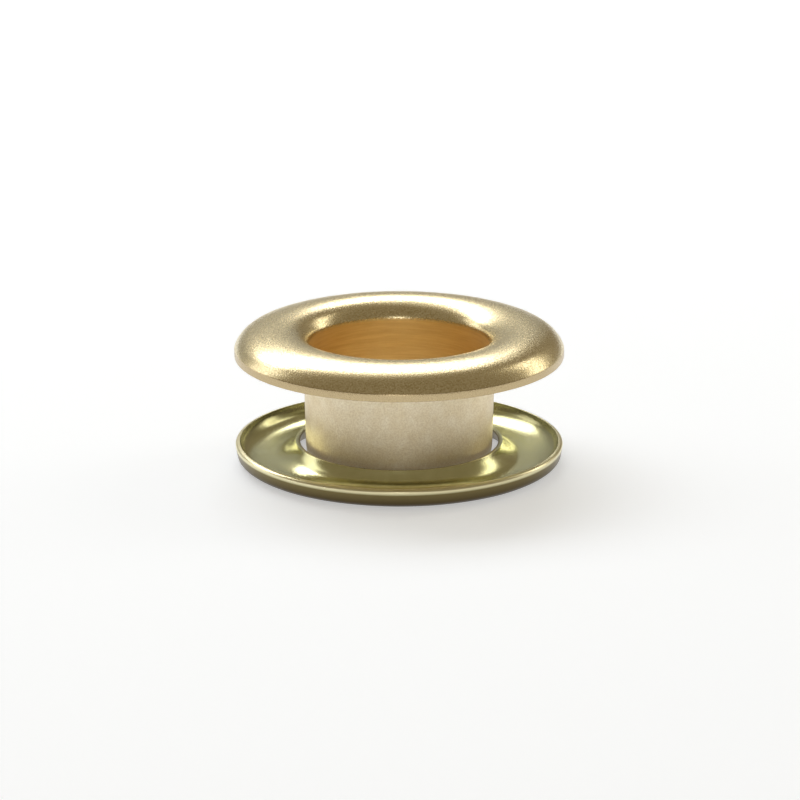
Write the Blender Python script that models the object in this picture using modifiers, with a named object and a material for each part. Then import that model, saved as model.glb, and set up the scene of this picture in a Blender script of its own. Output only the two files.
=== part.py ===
"""Two-piece sheet-brass grommet eyelet: a flanged eyelet standing in the hole of its dished neck washer.

Metres, +Z up. The origin is on the common axis, in the plane that both pieces rest on: the eyelet
stands on the trimmed end of its barrel, and the washer lies round it with its hollow side up.
Each piece is one turned section: a path along one face, and its offset by the sheet. Only the
washer's coined foot is thicker, because its hollow side has a wider turn than its underside.
"""
import math

import bpy

MM = 0.001

# Eyelet: one disc of sheet, drawn into a barrel and a domed flange
EYELET_SHEET = 0.42 * MM
EYELET_HEIGHT = 9.73 * MM
BORE_DIAMETER = 12.6 * MM  # at the foot of the throat
BARREL_DRAFT = math.radians(1.5)  # the barrel narrows towards its end
LEAD_HEIGHT = 1.5 * MM  # last stretch of the barrel, curled in so that it enters the hole
LEAD_RADIUS = 4.3 * MM  # of that curl, on the bore's side
THROAT_WIDTH = 1.92 * MM  # from the bore over to the crown
THROAT_DEPTH = 1.3 * MM  # crown above the throat's foot, so that the turn tightens into the bore
FLANGE_DIAMETER = 23.0 * MM  # the washer's lip is as wide
FLANGE_DEPTH = 1.97 * MM  # crown above the flange's lower edge
SHOULDER_RADIUS = 1.87 * MM  # dome's outer turn, above the rim
SHOULDER_SLOPE = math.radians(67.0)  # dome's fall where it meets the rim
RIM_LAND = 0.53 * MM  # straight upright band round the rim

# Neck washer: a thinner disc, dished, with its hole drawn up into a neck
WASHER_SHEET = 0.35 * MM
WASHER_HEIGHT = 1.54 * MM  # lip's upper edge above the foot
WALL_FLARE = math.radians(10.0)  # outer wall leans out towards the lip
FOOT_WIDTH = 1.4 * MM  # underside's turn from the foot out to the wall
FOOT_DEPTH = 0.7 * MM  # the same turn's height
BOWL_WIDTH = 1.8 * MM  # wider turn of the hollow side, where the coined foot is thicker than the sheet
BOWL_DEPTH = 1.0 * MM  # the same turn's height
NECK_HEIGHT = 1.58 * MM  # neck's outer edge above the foot
NECK_SLOPE = math.radians(78.0)  # steepness of the neck at its edge
NECK_CLEARANCE = 0.38 * MM  # all round the barrel, where it passes the neck

EDGE_BREAK = 0.07 * MM  # radius left on cut edges by tumbling
TURN_STEPS = 64
MAX_ROOM = 0.9  # largest share of its room that a rounding may take


def direction(heading):
    """Unit vector of travel in the section, as radius and height."""
    return math.cos(heading), math.sin(heading)


def beside(point, heading, distance):
    """Point at a distance to the right of a path that passes a point on a heading."""
    across, up = direction(heading)
    return point[0] + distance * up, point[1] - distance * across


def spread(first, last, count):
    """Evenly spaced values from first to last, both included."""
    return [first + (last - first) * index / (count - 1) for index in range(count)]


def turn(centre, radius, first, last, count):
    """Stations along an arc that turns right: points with the heading at each."""
    return [(beside(centre, heading, -radius), heading) for heading in spread(first, last, count)]


def offset(stations, thickness):
    """The sheet's other face: each station moved to the right of the path, in the same order."""
    return [beside(point, heading, thickness) for point, heading in stations]


def points_of(stations):
    return [point for point, _ in stations]


def throat_turn(count):
    """Stations up the throat, a quarter of an ellipse from the drafted bore wall to the crown."""
    centre = (BORE_DIAMETER / 2 + THROAT_WIDTH, EYELET_HEIGHT - THROAT_DEPTH)
    stations = []
    for heading in spread(math.pi / 2 - BARREL_DRAFT, 0, count):
        across, up = direction(heading)
        reach = math.hypot(THROAT_WIDTH * up, THROAT_DEPTH * across)
        inward = THROAT_WIDTH**2 * up / reach
        upward = THROAT_DEPTH**2 * across / reach
        stations.append(((centre[0] - inward, centre[1] + upward), heading))
    return stations


def eyelet_outline():
    """Closed section of the eyelet, clockwise from the crown, and its cut corners."""
    rim = FLANGE_DIAMETER / 2
    throat = throat_turn(11)
    crown = throat.pop()[0]
    rim_low = EYELET_HEIGHT - FLANGE_DEPTH
    rim_high = rim_low + RIM_LAND

    # The shoulder keeps within the dome's width and fall, and the crown's arc is tangent to it
    width = rim - crown[0]
    fall = crown[1] - rim_high
    shoulder = min(
        SHOULDER_RADIUS,
        MAX_ROOM * width / math.sin(SHOULDER_SLOPE),
        MAX_ROOM * fall / (1 - math.cos(SHOULDER_SLOPE)),
    )
    across = width - shoulder * math.sin(SHOULDER_SLOPE)
    below = fall + shoulder * math.cos(SHOULDER_SLOPE)
    crown_radius = (across**2 + below**2 - shoulder**2) / (2 * (below - shoulder))
    meeting = -math.atan2(across, crown_radius - below)
    crown_centre = (crown[0], crown[1] - crown_radius)
    shoulder_centre = (crown[0] + across, crown[1] - below)
    dome = turn(crown_centre, crown_radius, 0, meeting, 4)
    dome += turn(shoulder_centre, shoulder, meeting, -SHOULDER_SLOPE, 6)[1:]

    # The bore wall runs down to the lead, which curls in to the trimmed end
    wall_top, wall_heading = throat[0]
    wall_inset = (wall_top[1] - LEAD_HEIGHT) * math.tan(BARREL_DRAFT)
    wall_foot = (wall_top[0] - wall_inset, LEAD_HEIGHT)
    lead_centre = beside(wall_foot, wall_heading, -LEAD_RADIUS)

    def lead(radius):
        """One face of the lead, from the trimmed end at height 0 up to the wall."""
        end_heading = math.acos(min(1.0, lead_centre[1] / radius))
        return [beside(lead_centre, heading, radius) for heading in spread(end_heading, wall_heading, 5)]

    # At the rim the sheet's inner face has one mitred corner
    rim_inner = rim - EYELET_SHEET
    half_bend = (math.pi / 2 - SHOULDER_SLOPE) / 2
    rim_mitre = (rim_inner, rim_high - EYELET_SHEET * math.tan(half_bend))
    rim_corners = [(rim, rim_low), (rim_inner, rim_low)]

    bore_side = lead(LEAD_RADIUS)
    barrel_side = lead(LEAD_RADIUS + EYELET_SHEET)
    outline = points_of(dome) + rim_corners + [rim_mitre]
    outline += offset(dome[:-1], EYELET_SHEET)[::-1]
    outline += offset(throat, EYELET_SHEET)[::-1]
    outline += barrel_side[::-1] + bore_side
    outline += points_of(throat)
    cut = [dome[-1][0]] + rim_corners + [barrel_side[0], bore_side[0]]
    return outline, cut


def barrel_radius(height):
    """Outer radius of the drafted barrel at a height above its lead."""
    (bore, throat_foot), _ = throat_turn(2)[0]
    return bore + EYELET_SHEET - (throat_foot - height) * math.tan(BARREL_DRAFT)


def wall_turn(width, depth, level, inner, corner):
    """Points of a quarter of an ellipse, from a level floor up to the flared wall below a corner.

    It keeps within the room between the inner radius and the corner.
    """
    width = min(width, MAX_ROOM * (corner[0] - inner))
    depth = min(depth, MAX_ROOM * (corner[1] - level))
    wall_heading = math.pi / 2 - WALL_FLARE
    points = []
    for heading in spread(0, wall_heading, 10):
        across, up = direction(heading)
        reach = math.hypot(width * up, depth * across)
        points.append((width**2 * up / reach, level + depth - depth**2 * across / reach))
    inset = (corner[1] - points[-1][1]) * math.tan(WALL_FLARE)
    shift = corner[0] - inset - points[-1][0]
    return [(radius + shift, height) for radius, height in points]


def washer_outline():
    """Closed section of the washer, clockwise from the neck's edge, and its cut corners."""
    hole = barrel_radius(NECK_HEIGHT) + NECK_CLEARANCE

    # The neck's hollow side is an arc from the trough's floor up to the neck's edge
    neck_inside = (NECK_HEIGHT - WASHER_SHEET) / (1 - math.cos(NECK_SLOPE))
    neck_foot = hole + (neck_inside + WASHER_SHEET) * math.sin(NECK_SLOPE)
    neck_centre = (neck_foot, neck_inside + WASHER_SHEET)
    neck = turn(neck_centre, -neck_inside - WASHER_SHEET, -NECK_SLOPE, 0, 8)

    # The lip is cut square to the flared wall, so its hollow side is the higher edge
    lip_low = (FLANGE_DIAMETER / 2, WASHER_HEIGHT - WASHER_SHEET * math.sin(WALL_FLARE))
    lip_high = beside(lip_low, math.pi / 2 - WALL_FLARE, -WASHER_SHEET)

    under_side = points_of(neck)
    under_side += wall_turn(FOOT_WIDTH, FOOT_DEPTH, 0, neck_foot, lip_low)
    hollow_side = offset(neck, -WASHER_SHEET)
    hollow_side += wall_turn(BOWL_WIDTH, BOWL_DEPTH, WASHER_SHEET, neck_foot, lip_high)
    lip = [lip_high, lip_low]
    outline = hollow_side + lip + under_side[::-1]
    return outline, lip + [hollow_side[0], under_side[0]]


def brass(name, colour, roughness):
    """Principled metal in one colour."""
    material = bpy.data.materials.new(name)
    material.use_nodes = True
    shader = material.node_tree.nodes["Principled BSDF"]
    shader.inputs["Base Color"].default_value = (*colour, 1.0)
    shader.inputs["Metallic"].default_value = 1.0
    shader.inputs["Roughness"].default_value = roughness
    return material


def turned(name, section, material, collection):
    """Piece of revolution about Z: its closed section as a wire, cut corners rounded, then turned."""
    outline, cut = section
    mesh = bpy.data.meshes.new(name)
    vertices = [(radius, 0.0, height) for radius, height in outline]
    edges = [(index, (index + 1) % len(outline)) for index in range(len(outline))]
    mesh.from_pydata(vertices, edges, [])
    mesh.materials.append(material)
    weights = mesh.attributes.new("bevel_weight_vert", "FLOAT", "POINT")
    for index, point in enumerate(outline):
        weights.data[index].value = 1.0 if point in cut else 0.0

    piece = bpy.data.objects.new(name, mesh)
    collection.objects.link(piece)
    rounding = piece.modifiers.new("cut edges", "BEVEL")
    rounding.affect = "VERTICES"
    rounding.limit_method = "WEIGHT"
    rounding.width = EDGE_BREAK
    rounding.segments = 2
    revolve = piece.modifiers.new("turn", "SCREW")
    revolve.axis = "Z"
    revolve.angle = math.tau
    revolve.steps = TURN_STEPS
    revolve.render_steps = TURN_STEPS
    revolve.use_normal_calculate = True
    revolve.use_smooth_shade = True
    shading = piece.modifiers.new("shading", "WEIGHTED_NORMAL")
    shading.keep_sharp = True
    return piece


def build():
    for old in list(bpy.data.objects):
        bpy.data.objects.remove(old)
    collection = bpy.data.collections.new("grommet_eyelet")
    bpy.context.scene.collection.children.link(collection)
    satin = brass("tumbled brass", (0.62, 0.50, 0.27), 0.32)
    bright = brass("bright-dipped brass", (0.55, 0.51, 0.25), 0.18)
    turned("eyelet", eyelet_outline(), satin, collection)
    turned("neck_washer", washer_outline(), bright, collection)


build()
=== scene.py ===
"""Brass grommet set, dressed for its picture: the tumbled eyelet and its bright dished neck washer.

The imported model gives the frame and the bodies. Both pieces are turned here again in that frame,
from sections with the model's own sizes. Only the eyelet's crown is a little broader, and the
washer's lip has a rolled corner. The turns are finer, the cut edges are eased, and the surfaces
keep the soft waves of drawn and dished sheet.
"""
import math

import bpy
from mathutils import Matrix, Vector, noise


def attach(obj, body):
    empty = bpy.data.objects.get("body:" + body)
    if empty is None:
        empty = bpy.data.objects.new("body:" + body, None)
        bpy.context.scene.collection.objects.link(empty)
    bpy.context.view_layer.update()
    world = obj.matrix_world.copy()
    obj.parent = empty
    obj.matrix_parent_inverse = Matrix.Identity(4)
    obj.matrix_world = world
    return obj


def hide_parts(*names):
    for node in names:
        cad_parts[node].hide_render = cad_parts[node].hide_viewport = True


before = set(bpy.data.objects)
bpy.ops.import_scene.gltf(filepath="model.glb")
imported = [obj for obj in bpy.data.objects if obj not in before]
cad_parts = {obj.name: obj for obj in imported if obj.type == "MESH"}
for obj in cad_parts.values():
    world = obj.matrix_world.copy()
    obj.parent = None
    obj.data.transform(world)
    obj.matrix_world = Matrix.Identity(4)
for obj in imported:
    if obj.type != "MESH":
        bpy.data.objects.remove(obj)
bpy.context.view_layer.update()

MM = 0.001


# Sections, in millimetres: each point is a radius and a height

EYELET_SHEET = 0.42
EYELET_HEIGHT = 9.73
BORE_RADIUS = 6.3
BARREL_DRAFT = math.radians(1.5)  # the barrel narrows towards its end
LEAD_HEIGHT = 1.5  # last stretch of the barrel, curled in
LEAD_RADIUS = 4.3  # of that curl, on the bore's side
THROAT_WIDTH = 2.2  # 1.92 on the solid, whose crown is narrower than the highlights show
THROAT_DEPTH = 1.3  # crown above the throat's foot
RIM_RADIUS = 11.5  # of the flange and of the washer's lip
FLANGE_DEPTH = 1.97  # crown above the flange's lower edge
SHOULDER_RADIUS = 2.02  # 1.87 on the solid: with this the two faces stay within 0.05 mm
SHOULDER_SLOPE = math.radians(67.0)  # dome's fall where it meets the rim
RIM_LAND = 0.53  # upright band round the rim

WASHER_SHEET = 0.35
WASHER_HEIGHT = 1.54  # lip's upper edge above the foot
WALL_FLARE = math.radians(10.0)  # outer wall leans out towards the lip
FOOT_WIDTH = 1.4  # underside's turn from the foot out to the wall
FOOT_DEPTH = 0.7
BOWL_WIDTH = 1.8  # the same turn on the hollow side
BOWL_DEPTH = 1.0
LIP_ROUND = 0.2  # lip's outer corner, rolled over where the disc was blanked
LIP_BAND = 0.08  # wall's height below that corner in the lip's paler colour, partly a painted reflection
NECK_HEIGHT = 1.58  # neck's outer edge above the foot
NECK_SLOPE = math.radians(78.0)  # steepness of the neck at its edge
NECK_CLEARANCE = 0.38  # all round the barrel

WALK = 0.02  # spacing of a section's points while it is rounded
EDGE_ROUND = 0.028  # reach of the tumbled rounding on cut edges
LONGEST = 0.2  # span between rings
SHARPEST = math.radians(7.0)  # bend from ring to ring
TURN_STEPS = 480  # facets round each piece

WAVE_DEPTH = 0.006  # mean depth of the soft waves in the sheet
EYELET_WAVES = 0.33  # waves to a millimetre, on the drawn eyelet
WASHER_WAVES = 0.3  # waves to a millimetre, on the dished washer


def beside(point, heading, distance):
    """Point at a distance to the right of a path that passes a point on a heading."""
    return point[0] + distance * math.sin(heading), point[1] - distance * math.cos(heading)


def spread(first, last, count):
    """Evenly spaced values from first to last, both included."""
    return [first + (last - first) * index / (count - 1) for index in range(count)]


def swept(centre, radius, first, last, count=40):
    """Points of an arc from one heading to another, with the centre to the right of the path."""
    return [beside(centre, heading, -radius) for heading in spread(first, last, count)]


def stretch(points, zone):
    """Points that share a zone of the finish."""
    return [(point, zone) for point in points]


def throat_turn(depth, count=60):
    """One face of the throat, at a depth in the sheet, from the drafted bore wall to the crown."""
    centre = (BORE_RADIUS + THROAT_WIDTH, EYELET_HEIGHT - THROAT_DEPTH)
    points = []
    for heading in spread(math.pi / 2 - BARREL_DRAFT, 0, count):
        across, up = math.cos(heading), math.sin(heading)
        reach = math.hypot(THROAT_WIDTH * up, THROAT_DEPTH * across)
        inward = THROAT_WIDTH**2 * up / reach
        upward = THROAT_DEPTH**2 * across / reach
        face = (centre[0] - inward, centre[1] + upward)
        points.append(beside(face, heading, depth))
    return points


def eyelet_section():
    """Closed section of the eyelet, clockwise from the crown, each point with its zone."""
    throat = throat_turn(0)
    crown = throat[-1]
    rim_low = EYELET_HEIGHT - FLANGE_DEPTH
    rim_high = rim_low + RIM_LAND
    width = RIM_RADIUS - crown[0]
    fall = crown[1] - rim_high
    across = width - SHOULDER_RADIUS * math.sin(SHOULDER_SLOPE)
    below = fall + SHOULDER_RADIUS * math.cos(SHOULDER_SLOPE)
    crown_radius = (across**2 + below**2 - SHOULDER_RADIUS**2) / (2 * (below - SHOULDER_RADIUS))
    meeting = -math.atan2(across, crown_radius - below)
    crown_centre = (crown[0], crown[1] - crown_radius)
    shoulder_centre = (crown[0] + across, crown[1] - below)

    def dome(depth):
        """One face of the dome, at a depth in the sheet, from the crown to the rim."""
        points = swept(crown_centre, crown_radius - depth, 0, meeting)
        points += swept(shoulder_centre, SHOULDER_RADIUS - depth, meeting, -SHOULDER_SLOPE)[1:]
        return points

    wall_heading = math.pi / 2 - BARREL_DRAFT
    wall_top = throat[0]
    wall_inset = (wall_top[1] - LEAD_HEIGHT) * math.tan(BARREL_DRAFT)
    wall_foot = (wall_top[0] - wall_inset, LEAD_HEIGHT)
    lead_centre = beside(wall_foot, wall_heading, -LEAD_RADIUS)

    def lead(radius):
        """One face of the lead, from the trimmed end up to the wall."""
        end_heading = math.acos(lead_centre[1] / radius)
        return swept(lead_centre, -radius, end_heading, wall_heading)

    half_bend = (math.pi / 2 - SHOULDER_SLOPE) / 2
    inner = RIM_RADIUS - EYELET_SHEET
    mitre = (inner, rim_high - EYELET_SHEET * math.tan(half_bend))
    section = stretch(dome(0)[:-1], "flange")
    section += stretch([(RIM_RADIUS, rim_high), (RIM_RADIUS, rim_low)], "rim")
    section += stretch([(inner, rim_low), mitre], "under")
    section += stretch(dome(EYELET_SHEET)[-2::-1], "under")
    section += stretch(throat_turn(EYELET_SHEET)[-2::-1], "barrel")
    section += stretch(lead(LEAD_RADIUS + EYELET_SHEET)[::-1], "barrel")
    section += stretch(lead(LEAD_RADIUS) + [throat[0]], "bore")
    section += stretch(throat[1:-1], "throat")
    return section


def barrel_radius(height):
    """Outer radius of the drafted barrel at a height above its lead."""
    bore, throat_foot = throat_turn(0)[0]
    return bore + EYELET_SHEET - (throat_foot - height) * math.tan(BARREL_DRAFT)


def wall_turn(width, depth, level, corner, count=60):
    """Points of a quarter of an ellipse, from a level floor to the flared wall below a corner."""
    points = []
    for heading in spread(0, math.pi / 2 - WALL_FLARE, count):
        across, up = math.cos(heading), math.sin(heading)
        reach = math.hypot(width * up, depth * across)
        points.append((width**2 * up / reach, level + depth - depth**2 * across / reach))
    inset = (corner[1] - points[-1][1]) * math.tan(WALL_FLARE)
    shift = corner[0] - inset - points[-1][0]
    return [(radius + shift, height) for radius, height in points]


def washer_section():
    """Closed section of the washer, clockwise from the neck's edge, each point with its zone."""
    hole = barrel_radius(NECK_HEIGHT) + NECK_CLEARANCE
    neck_inside = (NECK_HEIGHT - WASHER_SHEET) / (1 - math.cos(NECK_SLOPE))
    neck_foot = hole + (neck_inside + WASHER_SHEET) * math.sin(NECK_SLOPE)
    neck_centre = (neck_foot, neck_inside + WASHER_SHEET)
    wall_heading = math.pi / 2 - WALL_FLARE
    lip_low = (RIM_RADIUS, WASHER_HEIGHT - WASHER_SHEET * math.sin(WALL_FLARE))
    lip_high = beside(lip_low, wall_heading, -WASHER_SHEET)
    bowl = wall_turn(BOWL_WIDTH, BOWL_DEPTH, WASHER_SHEET, lip_high)
    start = beside(lip_low, wall_heading, -LIP_ROUND)
    corner = beside(start, -WALL_FLARE, LIP_ROUND)
    lip = swept(corner, LIP_ROUND, -WALL_FLARE, -WALL_FLARE - math.pi / 2, count=12)
    band = (lip[-1][0] - LIP_BAND * math.tan(WALL_FLARE), lip[-1][1] - LIP_BAND)
    under = swept(neck_centre, -neck_inside - WASHER_SHEET, -NECK_SLOPE, 0)
    under += wall_turn(FOOT_WIDTH, FOOT_DEPTH, 0, lip_low)

    # The lip's two ends are in both stretches that meet there, so the finish changes right at them
    section = stretch(swept(neck_centre, -neck_inside, -NECK_SLOPE, 0), "neck")
    section += stretch(bowl + [lip_high], "bowl")
    section += stretch([lip_high] + lip + [band], "lip")
    section += stretch([band] + under[::-1], "outside")
    return section


def walked(section):
    """The section again as evenly spaced points, each with its zone."""
    steps = []
    for index, (start, zone) in enumerate(section):
        end, end_zone = section[(index + 1) % len(section)]
        length = math.dist(start, end)
        count = max(1, round(length / WALK))
        for step in range(count):
            share = step / count
            radius = start[0] + (end[0] - start[0]) * share
            height = start[1] + (end[1] - start[1]) * share
            steps.append(((radius, height), zone if share < 0.5 else end_zone))
    return steps


def rounded(steps):
    """The walked section with its corners eased, as the tumbler leaves cut edges."""
    reach = round(3 * EDGE_ROUND / WALK)
    offsets = range(-reach, reach + 1)
    weights = [math.exp(-0.5 * (offset * WALK / EDGE_ROUND) ** 2) for offset in offsets]
    total = sum(weights)
    eased = []
    for index, (_, zone) in enumerate(steps):
        near = [steps[(index + offset) % len(steps)][0] for offset in offsets]
        radius = sum(weight * point[0] for weight, point in zip(weights, near)) / total
        height = sum(weight * point[1] for weight, point in zip(weights, near)) / total
        eased.append(((radius, height), zone))
    return eased


def thinned(steps):
    """The rings to turn: few points where the section runs straight, and more where it bends."""
    kept = [steps[0]]
    for index in range(1, len(steps)):
        here = steps[index][0]
        before = kept[-1][0]
        after = steps[(index + 1) % len(steps)][0]
        arriving = math.atan2(here[1] - before[1], here[0] - before[0])
        leaving = math.atan2(after[1] - here[1], after[0] - here[0])
        bend = abs((leaving - arriving + math.pi) % math.tau - math.pi)
        if math.dist(before, after) > LONGEST or bend > SHARPEST:
            kept.append(steps[index])
    return kept


# Turned pieces


def outward(outline, index):
    """Unit vector out of the sheet at a point of a clockwise section."""
    before = outline[index - 1][0]
    after = outline[(index + 1) % len(outline)][0]
    along = (after[0] - before[0], after[1] - before[1])
    length = math.hypot(*along)
    return -along[1] / length, along[0] / length


def wave_at(point, waves, shift):
    """Depth of the soft waves at a point. The shift picks the noise that they follow."""
    return WAVE_DEPTH * (noise.noise(point * waves + shift) + 1)


def turned(name, section, zones, waves, shift):
    """Mesh of revolution about Z, with soft waves, and one attribute for each of the zones."""
    outline = thinned(rounded(walked(section)))
    vertices = []
    labels = []
    normals = [outward(outline, index) for index in range(len(outline))]
    for step in range(TURN_STEPS):
        angle = math.tau * step / TURN_STEPS
        across, along = math.cos(angle), math.sin(angle)
        for ((radius, height), zone), (out, up) in zip(outline, normals):
            point = Vector((radius * across, radius * along, height))
            facing = Vector((out * across, out * along, up))
            vertices.append((point - facing * wave_at(point, waves, shift)) * MM)
            labels.append(zone)
    rings = len(outline)
    faces = []
    for step in range(TURN_STEPS):
        first = step * rings
        second = (step + 1) % TURN_STEPS * rings
        for index in range(rings):
            following = (index + 1) % rings
            faces.append((first + index, first + following, second + following, second + index))
    mesh = bpy.data.meshes.new(name)
    mesh.from_pydata(vertices, [], faces)
    mesh.polygons.foreach_set("use_smooth", [True] * len(faces))
    for zone in zones:
        share = mesh.attributes.new(zone, "FLOAT", "POINT")
        share.data.foreach_set("value", [1.0 if label == zone else 0.0 for label in labels])
    mesh.update()
    piece = bpy.data.objects.new(name, mesh)
    bpy.context.scene.collection.objects.link(piece)
    return piece


eyelet = turned(
    "tumbled_eyelet",
    eyelet_section(),
    zones=("rim", "under", "barrel", "bore"),
    waves=EYELET_WAVES,
    shift=Vector((3.1, 0.0, 0.0)),
)
washer = turned(
    "bright_neck_washer",
    washer_section(),
    zones=("bowl", "lip", "outside"),
    waves=WASHER_WAVES,
    shift=Vector((0.0, 0.0, 5.3)),
)


# Finishes


def linear(hex_colour):
    """Linear RGBA from an sRGB hex string."""
    channels = [int(hex_colour[index:index + 2], 16) / 255 for index in (1, 3, 5)]
    return (*[c / 12.92 if c <= 0.04045 else ((c + 0.055) / 1.055) ** 2.4 for c in channels], 1.0)


def add(tree, kind, settings=None, inputs=None):
    """One node, its settings, and its inputs: a socket is linked, anything else is a value."""
    node = tree.nodes.new(kind)
    for key, value in (settings or {}).items():
        setattr(node, key, value)
    for key, value in (inputs or {}).items():
        if isinstance(value, bpy.types.NodeSocket):
            tree.links.new(value, node.inputs[key])
        else:
            node.inputs[key].default_value = value
    return node


def metal(name):
    """New metal material, its tree and its shader, and the place and the facing on the piece."""
    material = bpy.data.materials.new(name)
    material.use_nodes = True
    tree = material.node_tree
    shader = tree.nodes["Principled BSDF"]
    shader.inputs["Metallic"].default_value = 1.0
    coordinates = add(tree, "ShaderNodeTexCoord").outputs
    return material, tree, shader, coordinates["Object"], coordinates["Normal"]


def eyelet_brass():
    """Tumbled drawn brass.

    Cartridge brass sheet, deep drawn and then barrel tumbled: a satin skin with a fine matt grain,
    so lamps show as broad bands with a soft, sparkling edge. Real tumbling grain is about 0.03 mm.
    Its relief is drawn at 0.1 mm and its speckle at 0.12 mm, so that they show. The media hardly
    reach the bore, which keeps the golden colour of the drawn sheet. The barrel is paler and
    duller, and the rim's band and the underside are darker.
    """
    material, tree, shader, place, _ = metal("tumbled drawn brass")
    barrel, bore, rim, under = [
        add(tree, "ShaderNodeAttribute", {"attribute_name": zone}).outputs["Fac"]
        for zone in ("barrel", "bore", "rim", "under")
    ]

    # Fine relief, small matt specks, and wider clouds where the tumbling was less even
    grain = add(tree, "ShaderNodeTexNoise", None, {
        "Vector": place, "Scale": 1 / (0.1 * MM), "Detail": 1.0, "Roughness": 0.5,
    }).outputs["Fac"]
    speckle = add(tree, "ShaderNodeTexNoise", {"noise_dimensions": "4D"}, {
        "Vector": place, "W": 3.0, "Scale": 1 / (0.12 * MM), "Detail": 2.0, "Roughness": 0.8,
    }).outputs["Fac"]
    mottle = add(tree, "ShaderNodeTexNoise", {"noise_dimensions": "4D"}, {
        "Vector": place, "W": 7.0, "Scale": 1 / (1.1 * MM), "Detail": 4.0, "Roughness": 0.7,
    }).outputs["Fac"]

    # Rings that the drawing punch left in the bore. Real ones are finer: these, 0.2 mm apart, show
    flattened = add(tree, "ShaderNodeVectorMath", {"operation": "MULTIPLY"}, {
        0: place, 1: (0.06, 0.06, 1.0),
    }).outputs["Vector"]
    rings = add(tree, "ShaderNodeTexNoise", {"noise_dimensions": "4D"}, {
        "Vector": flattened, "W": 11.0, "Scale": 1 / (0.2 * MM), "Detail": 3.0, "Roughness": 0.7,
    }).outputs["Fac"]
    rings = add(tree, "ShaderNodeMapRange", None, {
        "Value": rings, "From Min": 0.35, "From Max": 0.65,
    }).outputs["Result"]

    # Grain stands out on the flange, and less on the barrel and in the bore, which are more matt
    quiet = add(tree, "ShaderNodeMath", {"operation": "MAXIMUM"}, {0: barrel, 1: bore}).outputs[0]
    depth = add(tree, "ShaderNodeMapRange", None, {
        "Value": quiet, "To Min": 0.32, "To Max": 0.2,
    }).outputs["Result"]
    relief = add(tree, "ShaderNodeBump", None, {
        "Height": grain, "Strength": depth, "Distance": 0.03 * MM,
    }).outputs["Normal"]
    tree.links.new(relief, shader.inputs["Normal"])
    sheen = add(tree, "ShaderNodeMapRange", None, {
        "Value": speckle, "From Min": 0.35, "From Max": 0.65, "To Min": 0.2, "To Max": 0.32,
    }).outputs["Result"]
    satin = add(tree, "ShaderNodeMath", {"operation": "MULTIPLY_ADD"}, {
        0: quiet, 1: 0.24, 2: sheen,
    }).outputs[0]
    tree.links.new(satin, shader.inputs["Roughness"])

    # Warm skin on the flange and the throat, then the barrel, the bore, the rim and the underside
    cloudy = add(tree, "ShaderNodeMapRange", None, {
        "Value": mottle, "From Min": 0.35, "From Max": 0.65,
    }).outputs["Result"]
    grainy = add(tree, "ShaderNodeMapRange", None, {
        "Value": speckle, "From Min": 0.4, "From Max": 0.6,
    }).outputs["Result"]
    skin = add(tree, "ShaderNodeMix", {"data_type": "RGBA"}, {
        0: grainy, 6: linear("#F7EAC4"), 7: linear("#D4C292"),
    }).outputs[2]
    pale = add(tree, "ShaderNodeMix", {"data_type": "RGBA"}, {
        0: cloudy, 6: linear("#FDF2D8"), 7: linear("#F4E5C4"),
    }).outputs[2]
    specks = add(tree, "ShaderNodeMath", {"operation": "MULTIPLY"}, {
        0: grainy, 1: 0.35,
    }).outputs[0]
    pale = add(tree, "ShaderNodeMix", {"data_type": "RGBA"}, {
        0: specks, 6: pale, 7: linear("#D2BE9A"),
    }).outputs[2]
    colour = add(tree, "ShaderNodeMix", {"data_type": "RGBA"}, {
        0: barrel, 6: skin, 7: pale,
    }).outputs[2]
    golden = add(tree, "ShaderNodeMix", {"data_type": "RGBA"}, {
        0: rings, 6: linear("#F8DEA0"), 7: linear("#EACD92"),
    }).outputs[2]
    colour = add(tree, "ShaderNodeMix", {"data_type": "RGBA"}, {
        0: bore, 6: colour, 7: golden,
    }).outputs[2]
    colour = add(tree, "ShaderNodeMix", {"data_type": "RGBA"}, {
        0: rim, 6: colour, 7: linear("#C5B18A"),
    }).outputs[2]
    colour = add(tree, "ShaderNodeMix", {"data_type": "RGBA"}, {
        0: under, 6: colour, 7: linear("#B5AC8C"),
    }).outputs[2]
    tree.links.new(colour, shader.inputs["Base Color"])
    return material


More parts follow.
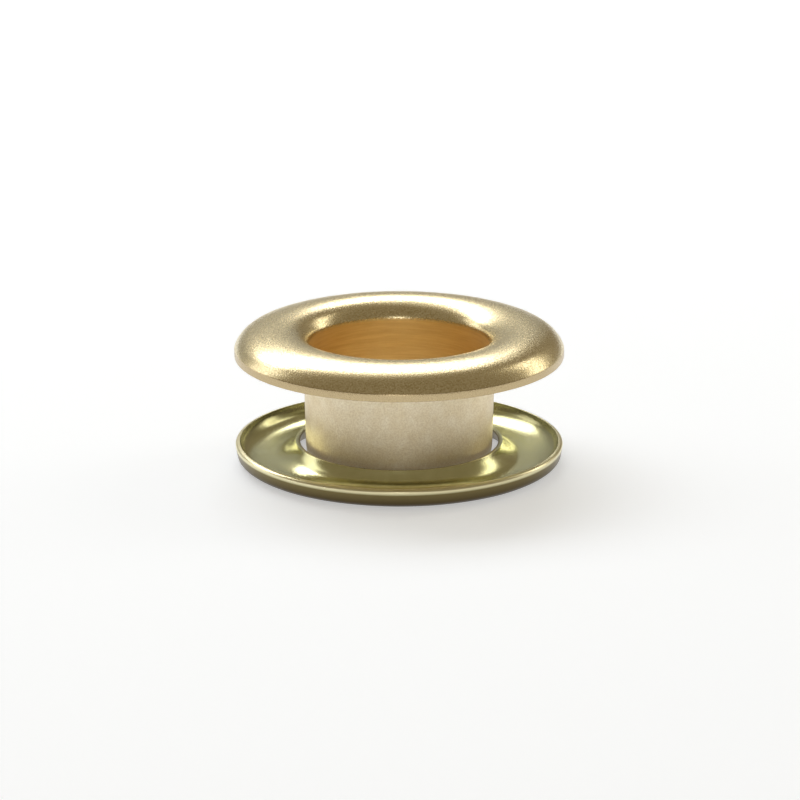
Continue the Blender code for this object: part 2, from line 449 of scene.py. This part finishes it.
def washer_brass():
    """Bright-dipped brass.

    Thinner half-hard sheet, dished and dipped in acid: smooth and glossy with a green cast, so
    lamps show as soft shapes that the dish bends. The bowl's wall is painted darker where it stands
    upright, a painted shade that dims the lamps on it. The outside is duller, and its colour is a
    brown painted shade, darkest near the foot, of the shadowed floor that it reflects. The lip is
    paler, partly as its cut edge and partly as a painted reflection of the bright floor. The grain
    is drawn at 0.12 mm, coarser than the real one, so that it shows.
    """
    material, tree, shader, place, facing = metal("bright-dipped brass")
    outside, lip, bowl = [
        add(tree, "ShaderNodeAttribute", {"attribute_name": zone}).outputs["Fac"]
        for zone in ("outside", "lip", "bowl")
    ]

    # How much a point belongs to the bowl's wall where it stands upright, for its painted shade
    upward = add(tree, "ShaderNodeSeparateXYZ", None, {0: facing}).outputs["Z"]
    painted_shade_steepness = add(tree, "ShaderNodeMapRange", None, {
        "Value": upward, "From Min": 0.9, "From Max": 0.3,
    }).outputs["Result"]
    wall = add(tree, "ShaderNodeMath", {"operation": "MULTIPLY"}, {0: painted_shade_steepness, 1: bowl}).outputs[0]

    # Fine relief, and the faint clouds that the acid leaves
    grain = add(tree, "ShaderNodeTexNoise", {"noise_dimensions": "4D"}, {
        "Vector": place, "W": 1.0, "Scale": 1 / (0.12 * MM), "Detail": 1.0, "Roughness": 0.5,
    }).outputs["Fac"]
    mottle = add(tree, "ShaderNodeTexNoise", {"noise_dimensions": "4D"}, {
        "Vector": place, "W": 5.0, "Scale": 1 / (1.2 * MM), "Detail": 3.0, "Roughness": 0.6,
    }).outputs["Fac"]
    relief = add(tree, "ShaderNodeBump", None, {
        "Height": grain, "Strength": 0.3, "Distance": 0.02 * MM,
    }).outputs["Normal"]
    tree.links.new(relief, shader.inputs["Normal"])

    # Outside and lip are duller than the dipped hollow side
    cloudy = add(tree, "ShaderNodeMapRange", None, {
        "Value": mottle, "From Min": 0.35, "From Max": 0.65,
    }).outputs["Result"]
    sheen = add(tree, "ShaderNodeMapRange", None, {
        "Value": mottle, "From Min": 0.35, "From Max": 0.65, "To Min": 0.17, "To Max": 0.22,
    }).outputs["Result"]
    dull = add(tree, "ShaderNodeMath", {"operation": "MULTIPLY_ADD"}, {
        0: outside, 1: 0.12, 2: sheen,
    }).outputs[0]
    dull = add(tree, "ShaderNodeMath", {"operation": "MULTIPLY_ADD"}, {
        0: lip, 1: 0.1, 2: dull,
    }).outputs[0]
    tree.links.new(dull, shader.inputs["Roughness"])

    # Greenish skin inside, painted shade on its upright wall, brown painted shade outside, darkest
    # at the foot
    skin = add(tree, "ShaderNodeMix", {"data_type": "RGBA"}, {
        0: cloudy, 6: linear("#DAD8A8"), 7: linear("#CECB98"),
    }).outputs[2]
    # Painted shade: the bowl's wall is darkened where it faces sideways
    skin = add(tree, "ShaderNodeMix", {"data_type": "RGBA"}, {
        0: wall, 6: skin, 7: linear("#96926A"),
    }).outputs[2]
    # Painted shade outside, darker towards the foot, for the shadowed floor that the wall reflects
    height = add(tree, "ShaderNodeSeparateXYZ", None, {0: place}).outputs["Z"]
    low = add(tree, "ShaderNodeMapRange", None, {
        "Value": height, "From Min": 1.15 * MM, "From Max": 0.35 * MM,
    }).outputs["Result"]
    painted_shade_outside = add(tree, "ShaderNodeMix", {"data_type": "RGBA"}, {
        0: low, 6: linear("#80744F"), 7: linear("#524630"),
    }).outputs[2]
    colour = add(tree, "ShaderNodeMix", {"data_type": "RGBA"}, {
        0: outside, 6: skin, 7: painted_shade_outside,
    }).outputs[2]
    # Paler lip, partly its cut edge and partly a painted reflection of the bright floor
    colour = add(tree, "ShaderNodeMix", {"data_type": "RGBA"}, {
        0: lip, 6: colour, 7: linear("#EEE6BE"),
    }).outputs[2]
    tree.links.new(colour, shader.inputs["Base Color"])
    return material


for piece, node, slot, material in (
    (eyelet, "eyelet", "eyelet_brass", eyelet_brass()),
    (washer, "neck_washer", "washer_brass", washer_brass()),
):
    piece.data.materials.append(material)
    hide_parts(node)
    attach(piece, "root")


# Studio


def toward(azimuth, elevation):
    """Unit vector from the object; azimuth 0 is the camera's side and 90 is its right."""
    turn = math.radians(azimuth)
    lift = math.radians(elevation)
    level = math.cos(lift)
    return Vector((math.sin(turn) * level, -math.cos(turn) * level, math.sin(lift)))


def softbox(name, start, end, distance, width, radiance, tint=(1.0, 1.0, 1.0)):
    """Rectangular lamp that faces the object.

    Its long axis runs from one direction to another, each an azimuth and an elevation in degrees.
    Distance and width are in metres, and the tint is linear.
    """
    first = toward(*start) * distance
    last = toward(*end) * distance
    centre = (first + last) / 2
    long_axis = (last - first).normalized()
    facing = centre.normalized()
    facing = (facing - long_axis * facing.dot(long_axis)).normalized()
    short_axis = facing.cross(long_axis)
    lamp = bpy.data.lights.new(name, "AREA")
    lamp.shape = "RECTANGLE"
    lamp.size = (last - first).length
    lamp.size_y = width
    lamp.energy = radiance * lamp.size * lamp.size_y * math.pi
    lamp.color = tint
    lit = bpy.data.objects.new(name, lamp)
    matrix = lit.matrix_world.to_3x3()
    matrix.col[0] = long_axis
    matrix.col[1] = short_axis
    matrix.col[2] = facing
    lit.matrix_world = matrix.to_4x4()
    lit.location = centre
    bpy.context.scene.collection.objects.link(lit)


# Lamps placed where the highlights on both pieces put them, most of them behind the object
softbox("wide softbox, back", (166, 39.5), (-122, 34.5), 0.9, 0.29, 4.4)
softbox("upright softbox, left", (-112, 0), (-112, 36), 0.9, 0.34, 1.5)
softbox("small softbox, right", (134, 42), (108, 6), 0.9, 0.21, 2.3, (1.0, 0.96, 0.86))
softbox("lit backdrop", (168, 12), (-130, 12), 1.0, 0.36, 0.14, (0.6, 0.8, 1.0))
softbox("backdrop's bright top", (168, 20), (-130, 20), 1.0, 0.12, 0.1, (0.8, 0.9, 1.0))
softbox("softbox's upper fringe", (168, 53), (-124, 48), 1.0, 0.16, 0.9)
softbox("ceiling's glow, back", (168, 62), (-130, 62), 1.0, 0.3, 0.3)
softbox("low window, front", (-7, 7), (7, 7), 1.0, 0.16, 4.0)

# Dim room, which shows in the dark parts of the brass
world = bpy.data.worlds.new("dim studio")
bpy.context.scene.world = world
world.use_nodes = True
world.node_tree.nodes["Background"].inputs["Color"].default_value = linear("#877C68")
world.node_tree.nodes["Background"].inputs["Strength"].default_value = 1.0

PAPER_HALF = 3.0  # metres, from the middle of the floor to its edges
PAPER_DROP = 0.02 * MM  # floor below the plane that the pieces rest on, so that no faces coincide
PAPER_GLOW = 0.46  # added where it is seen, to bring it up to white


def pale_floor():
    """Matt white paper, lifted to the backdrop's white where the camera or the brass sees it."""
    material = bpy.data.materials.new("matt white paper")
    material.use_nodes = True
    tree = material.node_tree
    shader = tree.nodes["Principled BSDF"]
    shader.inputs["Base Color"].default_value = linear("#DFE6F0")
    shader.inputs["Roughness"].default_value = 0.9
    rays = add(tree, "ShaderNodeLightPath").outputs
    seen = add(tree, "ShaderNodeMath", {"operation": "MAXIMUM"}, {
        0: rays["Is Camera Ray"], 1: rays["Is Glossy Ray"],
    }).outputs[0]
    seen = add(tree, "ShaderNodeMath", {"operation": "MAXIMUM"}, {
        0: seen, 1: rays["Is Transmission Ray"],
    }).outputs[0]
    lift = add(tree, "ShaderNodeMath", {"operation": "MULTIPLY"}, {
        0: seen, 1: PAPER_GLOW,
    }).outputs[0]
    tree.links.new(lift, shader.inputs["Emission Strength"])
    shader.inputs["Emission Color"].default_value = (1.0, 1.0, 1.0, 1.0)
    return material


corners = [(PAPER_HALF * x, PAPER_HALF * y, 0.0) for x, y in ((-1, -1), (1, -1), (1, 1), (-1, 1))]
floor_mesh = bpy.data.meshes.new("floor")
floor_mesh.from_pydata(corners, [], [(0, 1, 2, 3)])
floor_mesh.materials.append(pale_floor())
floor = bpy.data.objects.new("floor", floor_mesh)
floor.location = (0.0, 0.0, -PAPER_DROP)
bpy.context.scene.collection.objects.link(floor)


# Camera

CAMERA_ELEVATION = 17.12  # degrees above the floor
CAMERA_DISTANCE = 0.32
AIM = Vector((0.00006, 0.0, 0.0044))  # just below the middle of the eyelet

eye = bpy.data.cameras.new("camera")
eye.lens = 206.0
eye.sensor_width = 36.0
camera = bpy.data.objects.new("camera", eye)
camera.location = AIM + CAMERA_DISTANCE * toward(0.0, CAMERA_ELEVATION)
camera.rotation_euler = (math.radians(90.0 - CAMERA_ELEVATION), 0.0, 0.0)
bpy.context.scene.collection.objects.link(camera)
bpy.context.scene.camera = camera
bpy.context.scene.view_settings.view_transform = "Standard"
